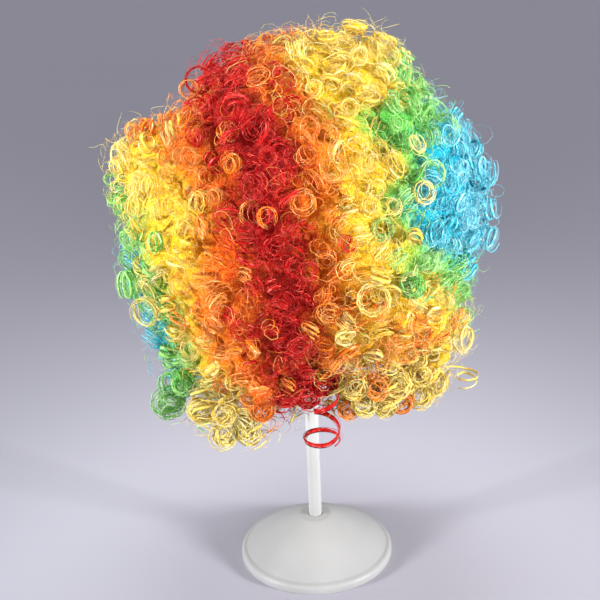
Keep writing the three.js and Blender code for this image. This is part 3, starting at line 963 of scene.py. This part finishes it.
fibre_kinds = [
    {"name": "undercurl", "count": 2400, "steps": 10, "radius": (0.0045, 0.0100), "turns": (0.7, 1.4),
     "run": (0.001, 0.006), "thickness": (0.00024, 0.00042), "seat": (0.87, 0.945), "outward": 1.2,
     "sway": (0, 0.0015), "tone": (0.15, 0.75), "mixing": 3.0},
    {"name": "frizz", "count": 2150, "steps": 10, "radius": (0.004, 0.015), "turns": (0.35, 1.2),
     "run": (0.003, 0.014), "thickness": (0.00010, 0.00019), "seat": (0.90, 0.975), "outward": 0.5,
     "sway": (0, 0.003), "tone": (0.4, 0.95), "mixing": 6.0},
]
fibre_scatter = 0.03


def of_colour(owners, colour):
    """Which of the owners are panels of one colour."""
    return np.isin(owners, [number for number, panel in enumerate(panels) if colour_of(panel) == colour])


def fibre_bodies(headings, kind):
    """Single wavy fibres that start at places spread over the hair."""
    count = len(headings)
    start = headings * (hair_reach(headings) * scaled(count, kind["seat"]))[:, None] + wig_centre
    axis = unit(headings * kind["outward"] + unit(random.normal(size=(count, 3))))
    still = np.zeros(count)
    places, outs = coils(kind["steps"], start, axis, scaled(count, kind["radius"], 1.3),
                         scaled(count, kind["turns"]), scaled(count, kind["run"]),
                         scaled(count, (0, 2 * math.pi)), still, still, scaled(count, kind["sway"]))
    thick = scaled(count, kind["thickness"])
    return [lock_bodies(places, outs, triangle, thick, thick, scaled(count, kind["tone"]))]


for kind in fibre_kinds:
    headings = above_hem(kind["count"], fibre_scatter)
    owners = panel_of(headings, random.normal(0, kind["mixing"], len(headings)))
    for colour in hair_colours:
        bodies = fibre_bodies(headings[of_colour(owners, colour)], kind)
        place_locks(kind["name"] + "_" + colour, colour, bodies)


# Hem
# All round the wig curls hang down below the hem, in an outer and an inner row. They hang lowest at
# the front on both sides. around is in degrees from the wearer's left to the back.

hem_rows = [
    {"count": 54, "fall": math.radians(44), "share": 0.90},
    {"count": 40, "fall": math.radians(53), "share": 0.88},
]
hem_around = np.array([0, 90, 180, 225, 262, 300, 330, 360.0])
hem_length = [0.036, 0.022, 0.030, 0.046, 0.038, 0.036, 0.046, 0.036]
hem_length_spread = (0.75, 1.2)
hem_step_spread = 0.6
hem_fall_spread = 0.05
hem_outward = 0.15
hem_tilt = 0.30
hem_turns = (1.6, 2.8)
hem_tightness = 0.55


def hem_curls(row):
    """Where the curls of one row hang from, which way they run and how long they are."""
    count = row["count"]
    around = (np.arange(count) + hem_step_spread * random.random(count)) * 360 / count
    fall = row["fall"] + random.normal(0, hem_fall_spread, count)
    turn = np.radians(around)
    level = np.stack([np.cos(turn), np.sin(turn), 0 * turn], 1)
    headings = level * np.cos(fall)[:, None] - np.array([0, 0, 1.0]) * np.sin(fall)[:, None]
    start = headings * (hair_reach(headings) * row["share"])[:, None] + wig_centre
    axis = unit(np.array([0, 0, -1.0]) + level * hem_outward + random.normal(0, hem_tilt, level.shape))
    length = read_table(hem_around, hem_length, around) * scaled(count, hem_length_spread)
    return headings, start, axis, length


hem_parts = [np.concatenate(parts) for parts in zip(*[hem_curls(row) for row in hem_rows])]
headings, starts, axes, lengths = hem_parts
sizes = ringlet_sizes(len(starts))
sizes["turns"] = np.clip(lengths / sizes["pitch"] * hem_tightness, *hem_turns)
sizes["lean"] = np.zeros(len(starts))
owners = panel_of(headings, sizes["shift"])
for colour in hair_colours:
    mask = of_colour(owners, colour)
    if mask.any():
        bodies = ringlet_bodies(starts[mask], axes[mask], lengths[mask], chosen(sizes, mask))
        place_locks("hem_" + colour, colour, bodies)


# Curls that stand out
# Curls that are seen by themselves: single ones that spring from the mass or lie in a neighbour's
# colour, ones wound up into balls at the hem and on the sides, and two that are led turn by turn.

lone_columns = ("colour", "place", "axis", "radius", "turns", "length", "band", "phase", "tone")
lone_curls = [
    ("red", (-0.083, -0.049, 0.493), (0.15, -1, 0.35), 0.0115, 1.4, 0.005, 0.0030, 5.6, 0.45),
    ("orange", (-0.090, -0.052, 0.487), (-0.1, -1, 0.3), 0.0075, 1.4, 0.005, 0.0022, 5.0, 0.60),
    ("orange", (-0.029, -0.160, 0.411), (0.1, -1, 0.4), 0.0085, 0.8, 0.004, 0.0016, 2.4, 0.30),
    ("green", (-0.146, -0.080, 0.330), (-0.9, -0.5, 0.1), 0.0120, 2.2, 0.012, 0.0030, 0.8, 0.50),
    ("green", (-0.119, -0.074, 0.232), (-0.6, -1, 0.1), 0.0120, 1.8, 0.010, 0.0026, 2.0, 0.30),
    ("green", (0.100, -0.105, 0.424), (0.6, -1, 0.4), 0.0110, 1.6, 0.008, 0.0024, 2.2, 0.75),
    ("yellow", (-0.133, -0.100, 0.313), (-0.5, -1, 0.1), 0.0125, 1.6, 0.010, 0.0024, 3.0, 0.70),
    ("yellow", (0.050, -0.152, 0.338), (0.2, -1, 0.2), 0.0135, 1.7, 0.012, 0.0026, 1.0, 0.65),
    ("yellow", (0.128, -0.083, 0.268), (0.8, -0.7, 0.2), 0.0115, 1.5, 0.012, 0.0022, 4.2, 0.70),
    ("yellow", (0.092, -0.117, 0.413), (0.6, -1, 0.4), 0.0095, 1.5, 0.008, 0.0022, 0.2, 0.75),
    ("blue", (0.158, 0.004, 0.388), (0.8, -0.5, 0.1), 0.0120, 1.7, 0.010, 0.0020, 0.2, 0.60),
    ("blue", (0.155, -0.036, 0.343), (0.8, -0.6, -0.1), 0.0110, 1.9, 0.012, 0.0024, 3.2, 0.50),
    ("blue", (0.156, -0.020, 0.362), (1.0, -0.3, 0.2), 0.0100, 2.2, 0.012, 0.0026, 1.0, 0.60),
]
lone_strands = 6
lone_nesting = 0.10
lone_lean = 0.08
lone_ends = (0.85, 0.0)


# Balls of wound-up curls. Each row has a ball's middle and its radius.
curl_balls = {
    "blue": [((0.158, 0.010, 0.380), 0.0120)],
    "green": [((-0.124, -0.084, 0.217), 0.0145), ((-0.112, -0.090, 0.238), 0.0125),
              ((0.083, -0.150, 0.346), 0.0110)],
    "yellow": [((-0.077, -0.108, 0.1975), 0.0130), ((-0.055, -0.110, 0.198), 0.0100),
               ((-0.058, -0.110, 0.213), 0.0120), ((-0.075, -0.110, 0.218), 0.0125),
               ((-0.097, -0.098, 0.215), 0.0120), ((0.046, -0.104, 0.219), 0.0125),
               ((0.036, -0.108, 0.238), 0.0130), ((0.074, -0.100, 0.235), 0.0130),
               ((0.094, -0.090, 0.238), 0.0125), ((0.062, -0.100, 0.212), 0.0110),
               ((0.094, -0.084, 0.213), 0.0120), ((0.110, -0.074, 0.222), 0.0120),
               ((0.048, -0.092, 0.226), 0.0130), ((0.082, -0.082, 0.228), 0.0125)],
    "orange": [((-0.042, -0.112, 0.222), 0.0120), ((0.030, -0.104, 0.214), 0.0090),
               ((0.056, -0.106, 0.236), 0.0125), ((0.078, -0.092, 0.213), 0.0110),
               ((0.032, -0.094, 0.234), 0.0125), ((0.068, -0.086, 0.226), 0.0130),
               ((0.098, -0.072, 0.228), 0.0120)],
    "red": [((-0.020, -0.116, 0.246), 0.0175), ((-0.020, -0.110, 0.236), 0.0140),
            ((-0.004, -0.108, 0.232), 0.0125), ((0.010, -0.106, 0.240), 0.0120)],
}
ball_tones = {"blue": (0.05, 0.40), "green": (0.05, 0.40), "yellow": (0.40, 0.75),
              "orange": (0.15, 0.50), "red": (0.05, 0.40)}
ball_strands = 17
ball_strand_radius = (0.0003, 0.0007)
ball_turns = (1.3, 1.8)
ball_axis = np.array([0, -1.0, 0.25])
ball_axis_spread = 0.3
ball_length_share = 0.9
ball_nesting = 0.28
ball_lean = 0.32


# Led curls: the red ringlet beside the post, a tall turn that opens into a flat ring, and a thin yellow
# one that springs out of the side above the hem. The rows are read at the turns made so far, and the
# parts are the band and the strands: width, tone and how loosely each one follows.
led_curls = [
    {"colour": "red", "front": -0.110,
     "turns": [-0.55, 0.0, 0.5, 1.0, 1.2, 2.15],
     "heights": [0.246, 0.2315, 0.2165, 0.1990, 0.1915, 0.1885],
     "radii": [0.008, 0.0100, 0.0105, 0.0140, 0.0160, 0.0160],
     "across": [0.014, 0.013, 0.0120, 0.0095, 0.0078, 0.0075],
     "parts": [(0.0048, 0.35, 0.0), (0.00040, 0.75, 0.25), (0.00035, 0.65, -0.30),
               (0.00030, 0.80, 0.55), (0.00030, 0.55, -0.60), (0.00025, 0.80, 1.0)]},
    {"colour": "yellow", "front": -0.078,
     "turns": [-0.55, -0.25, 0.25, 0.75, 1.42],
     "heights": [0.2370, 0.2300, 0.2285, 0.2280, 0.2195],
     "radii": [0.0240, 0.0120, 0.0085, 0.0085, 0.0100],
     "across": [0.1365, 0.1365, 0.1365, 0.1365, 0.1365],
     "parts": [(0.0020, 0.60, 0.0), (0.00030, 0.75, 0.20), (0.00025, 0.85, -0.30),
               (0.00020, 0.90, 0.60)]},
]
led_steps = 60
led_band_thickness = 0.0011
led_smoothing = np.ones(3) / 3
led_sway = {"waves": 5, "stagger": 2.1, "turn": 0.04, "radius": 0.16, "height": 0.003}


def lone_bodies(colour):
    """The single curls of one colour, from their table."""
    rows = [row[1:] for row in lone_curls if row[0] == colour]
    curls = {title: np.array(column, float) for title, column in zip(lone_columns[1:], zip(*rows))}
    curls["lean"] = np.zeros(len(rows))
    return ringlet_bodies(curls["place"], unit(curls["axis"]), curls["length"], curls, lone_strands,
                          lone_nesting, lone_lean, lone_ends)


def ball_bodies(colour):
    """Curls of one colour that are wound up into balls of nested rings."""
    middles, radii = [np.array(column) for column in zip(*curl_balls[colour])]
    count = len(radii)
    sizes = ringlet_sizes(count)
    sizes["radius"] = radii
    sizes["tone"] = scaled(count, ball_tones[colour])
    sizes["turns"] = scaled(count, ball_turns)
    sizes["lean"] = np.zeros(count)
    axis = unit(ball_axis + random.normal(0, ball_axis_spread, middles.shape))
    length = radii * ball_length_share
    return ringlet_bodies(middles - axis * length[:, None] / 2, axis, length, sizes, ball_strands,
                          ball_nesting, ball_lean, thickness=ball_strand_radius)


def led_bodies(curl):
    """The band and the strands of a curl that is led turn by turn."""
    steps = np.linspace(curl["turns"][0], curl["turns"][-1], led_steps)
    heights, radii, across = [np.interp(steps, curl["turns"], curl[title])
                              for title in ("heights", "radii", "across")]
    bodies = []
    for number, (width, tone, loose) in enumerate(curl["parts"]):
        sway = loose * np.sin(steps * led_sway["waves"] + number * led_sway["stagger"])
        angle = 2 * math.pi * (steps + led_sway["turn"] * sway)
        radius = radii * (1 + led_sway["radius"] * sway)
        lines = (across + radius * np.cos(angle), curl["front"] - radius * np.sin(angle),
                 heights + led_sway["height"] * sway)
        path = np.stack([np.convolve(np.pad(line, 1, "edge"), led_smoothing, "valid") for line in lines], 1)
        outs = np.stack([np.cos(angle), -np.sin(angle), 0 * angle], 1)
        profile, thickness = (diamond, led_band_thickness) if number == 0 else (triangle, width)
        bodies.append(lock_bodies(path[None], outs[None], profile, np.array([width]),
                                  np.array([thickness]), np.array([tone])))
    return bodies


for colour in hair_colours:
    bodies = lone_bodies(colour) + ball_bodies(colour)
    for curl in led_curls:
        if curl["colour"] == colour:
            bodies += led_bodies(curl)
    place_locks("lone_curls_" + colour, colour, bodies)


# Floor and light
# A plain pale floor and soft light from both sides, from the front and from above.

floor_size = 60
light_plan = [
    {"name": "left_light", "place": (-1.40, -0.60, 0.54), "size": 0.3, "power": 3.5, "spread": 45},
    {"name": "right_light", "place": (1.36, -0.72, 0.53), "size": 0.3, "power": 4.0, "spread": 45},
    {"name": "front_light", "place": (0.25, -1.40, 0.60), "size": 0.5, "power": 0.40, "spread": 45},
    {"name": "top_light", "place": (0, 0.25, 1.45), "size": 0.6, "power": 1.5, "spread": 70},
]


def floor_material():
    finish = Finish("pale_floor")
    cloud = finish.noise(finish.place(), 2, 2)
    colour = finish.blend(cloud, (0.50, 0.49, 0.56, 1), (0.52, 0.51, 0.58, 1))
    shader = finish.node("BsdfPrincipled", {}, {"Base Color": colour, "Roughness": 0.9})
    return finish.surface(shader)


def studio_light(plan):
    lamp = bpy.data.lights.new(plan["name"], "AREA")
    lamp.size = plan["size"]
    lamp.energy = plan["power"]
    lamp.spread = math.radians(plan["spread"])
    light = bpy.data.objects.new(plan["name"], lamp)
    bpy.context.scene.collection.objects.link(light)
    aim = Vector((0, 0, 0.40)) - Vector(plan["place"])
    turn = aim.to_track_quat("-Z", "Y").to_matrix().to_4x4()
    light.matrix_world = Matrix.Translation(plan["place"]) @ turn


floor_mesh = bpy.data.meshes.new("floor")
half = floor_size / 2
floor_mesh.from_pydata([(-half, -half, 0), (half, -half, 0), (half, half, 0), (-half, half, 0)], [],
                       [(0, 1, 2, 3)])
floor_mesh.materials.append(floor_material())
floor = bpy.data.objects.new("floor", floor_mesh)
bpy.context.scene.collection.objects.link(floor)
for plan in light_plan:
    studio_light(plan)
world = bpy.data.worlds.new("studio")
world.use_nodes = True
world.node_tree.nodes["Background"].inputs["Color"].default_value = (0.93, 0.93, 1.0, 1)
world.node_tree.nodes["Background"].inputs["Strength"].default_value = 0.50
bpy.context.scene.world = world
bpy.context.scene.view_settings.view_transform = "Standard"
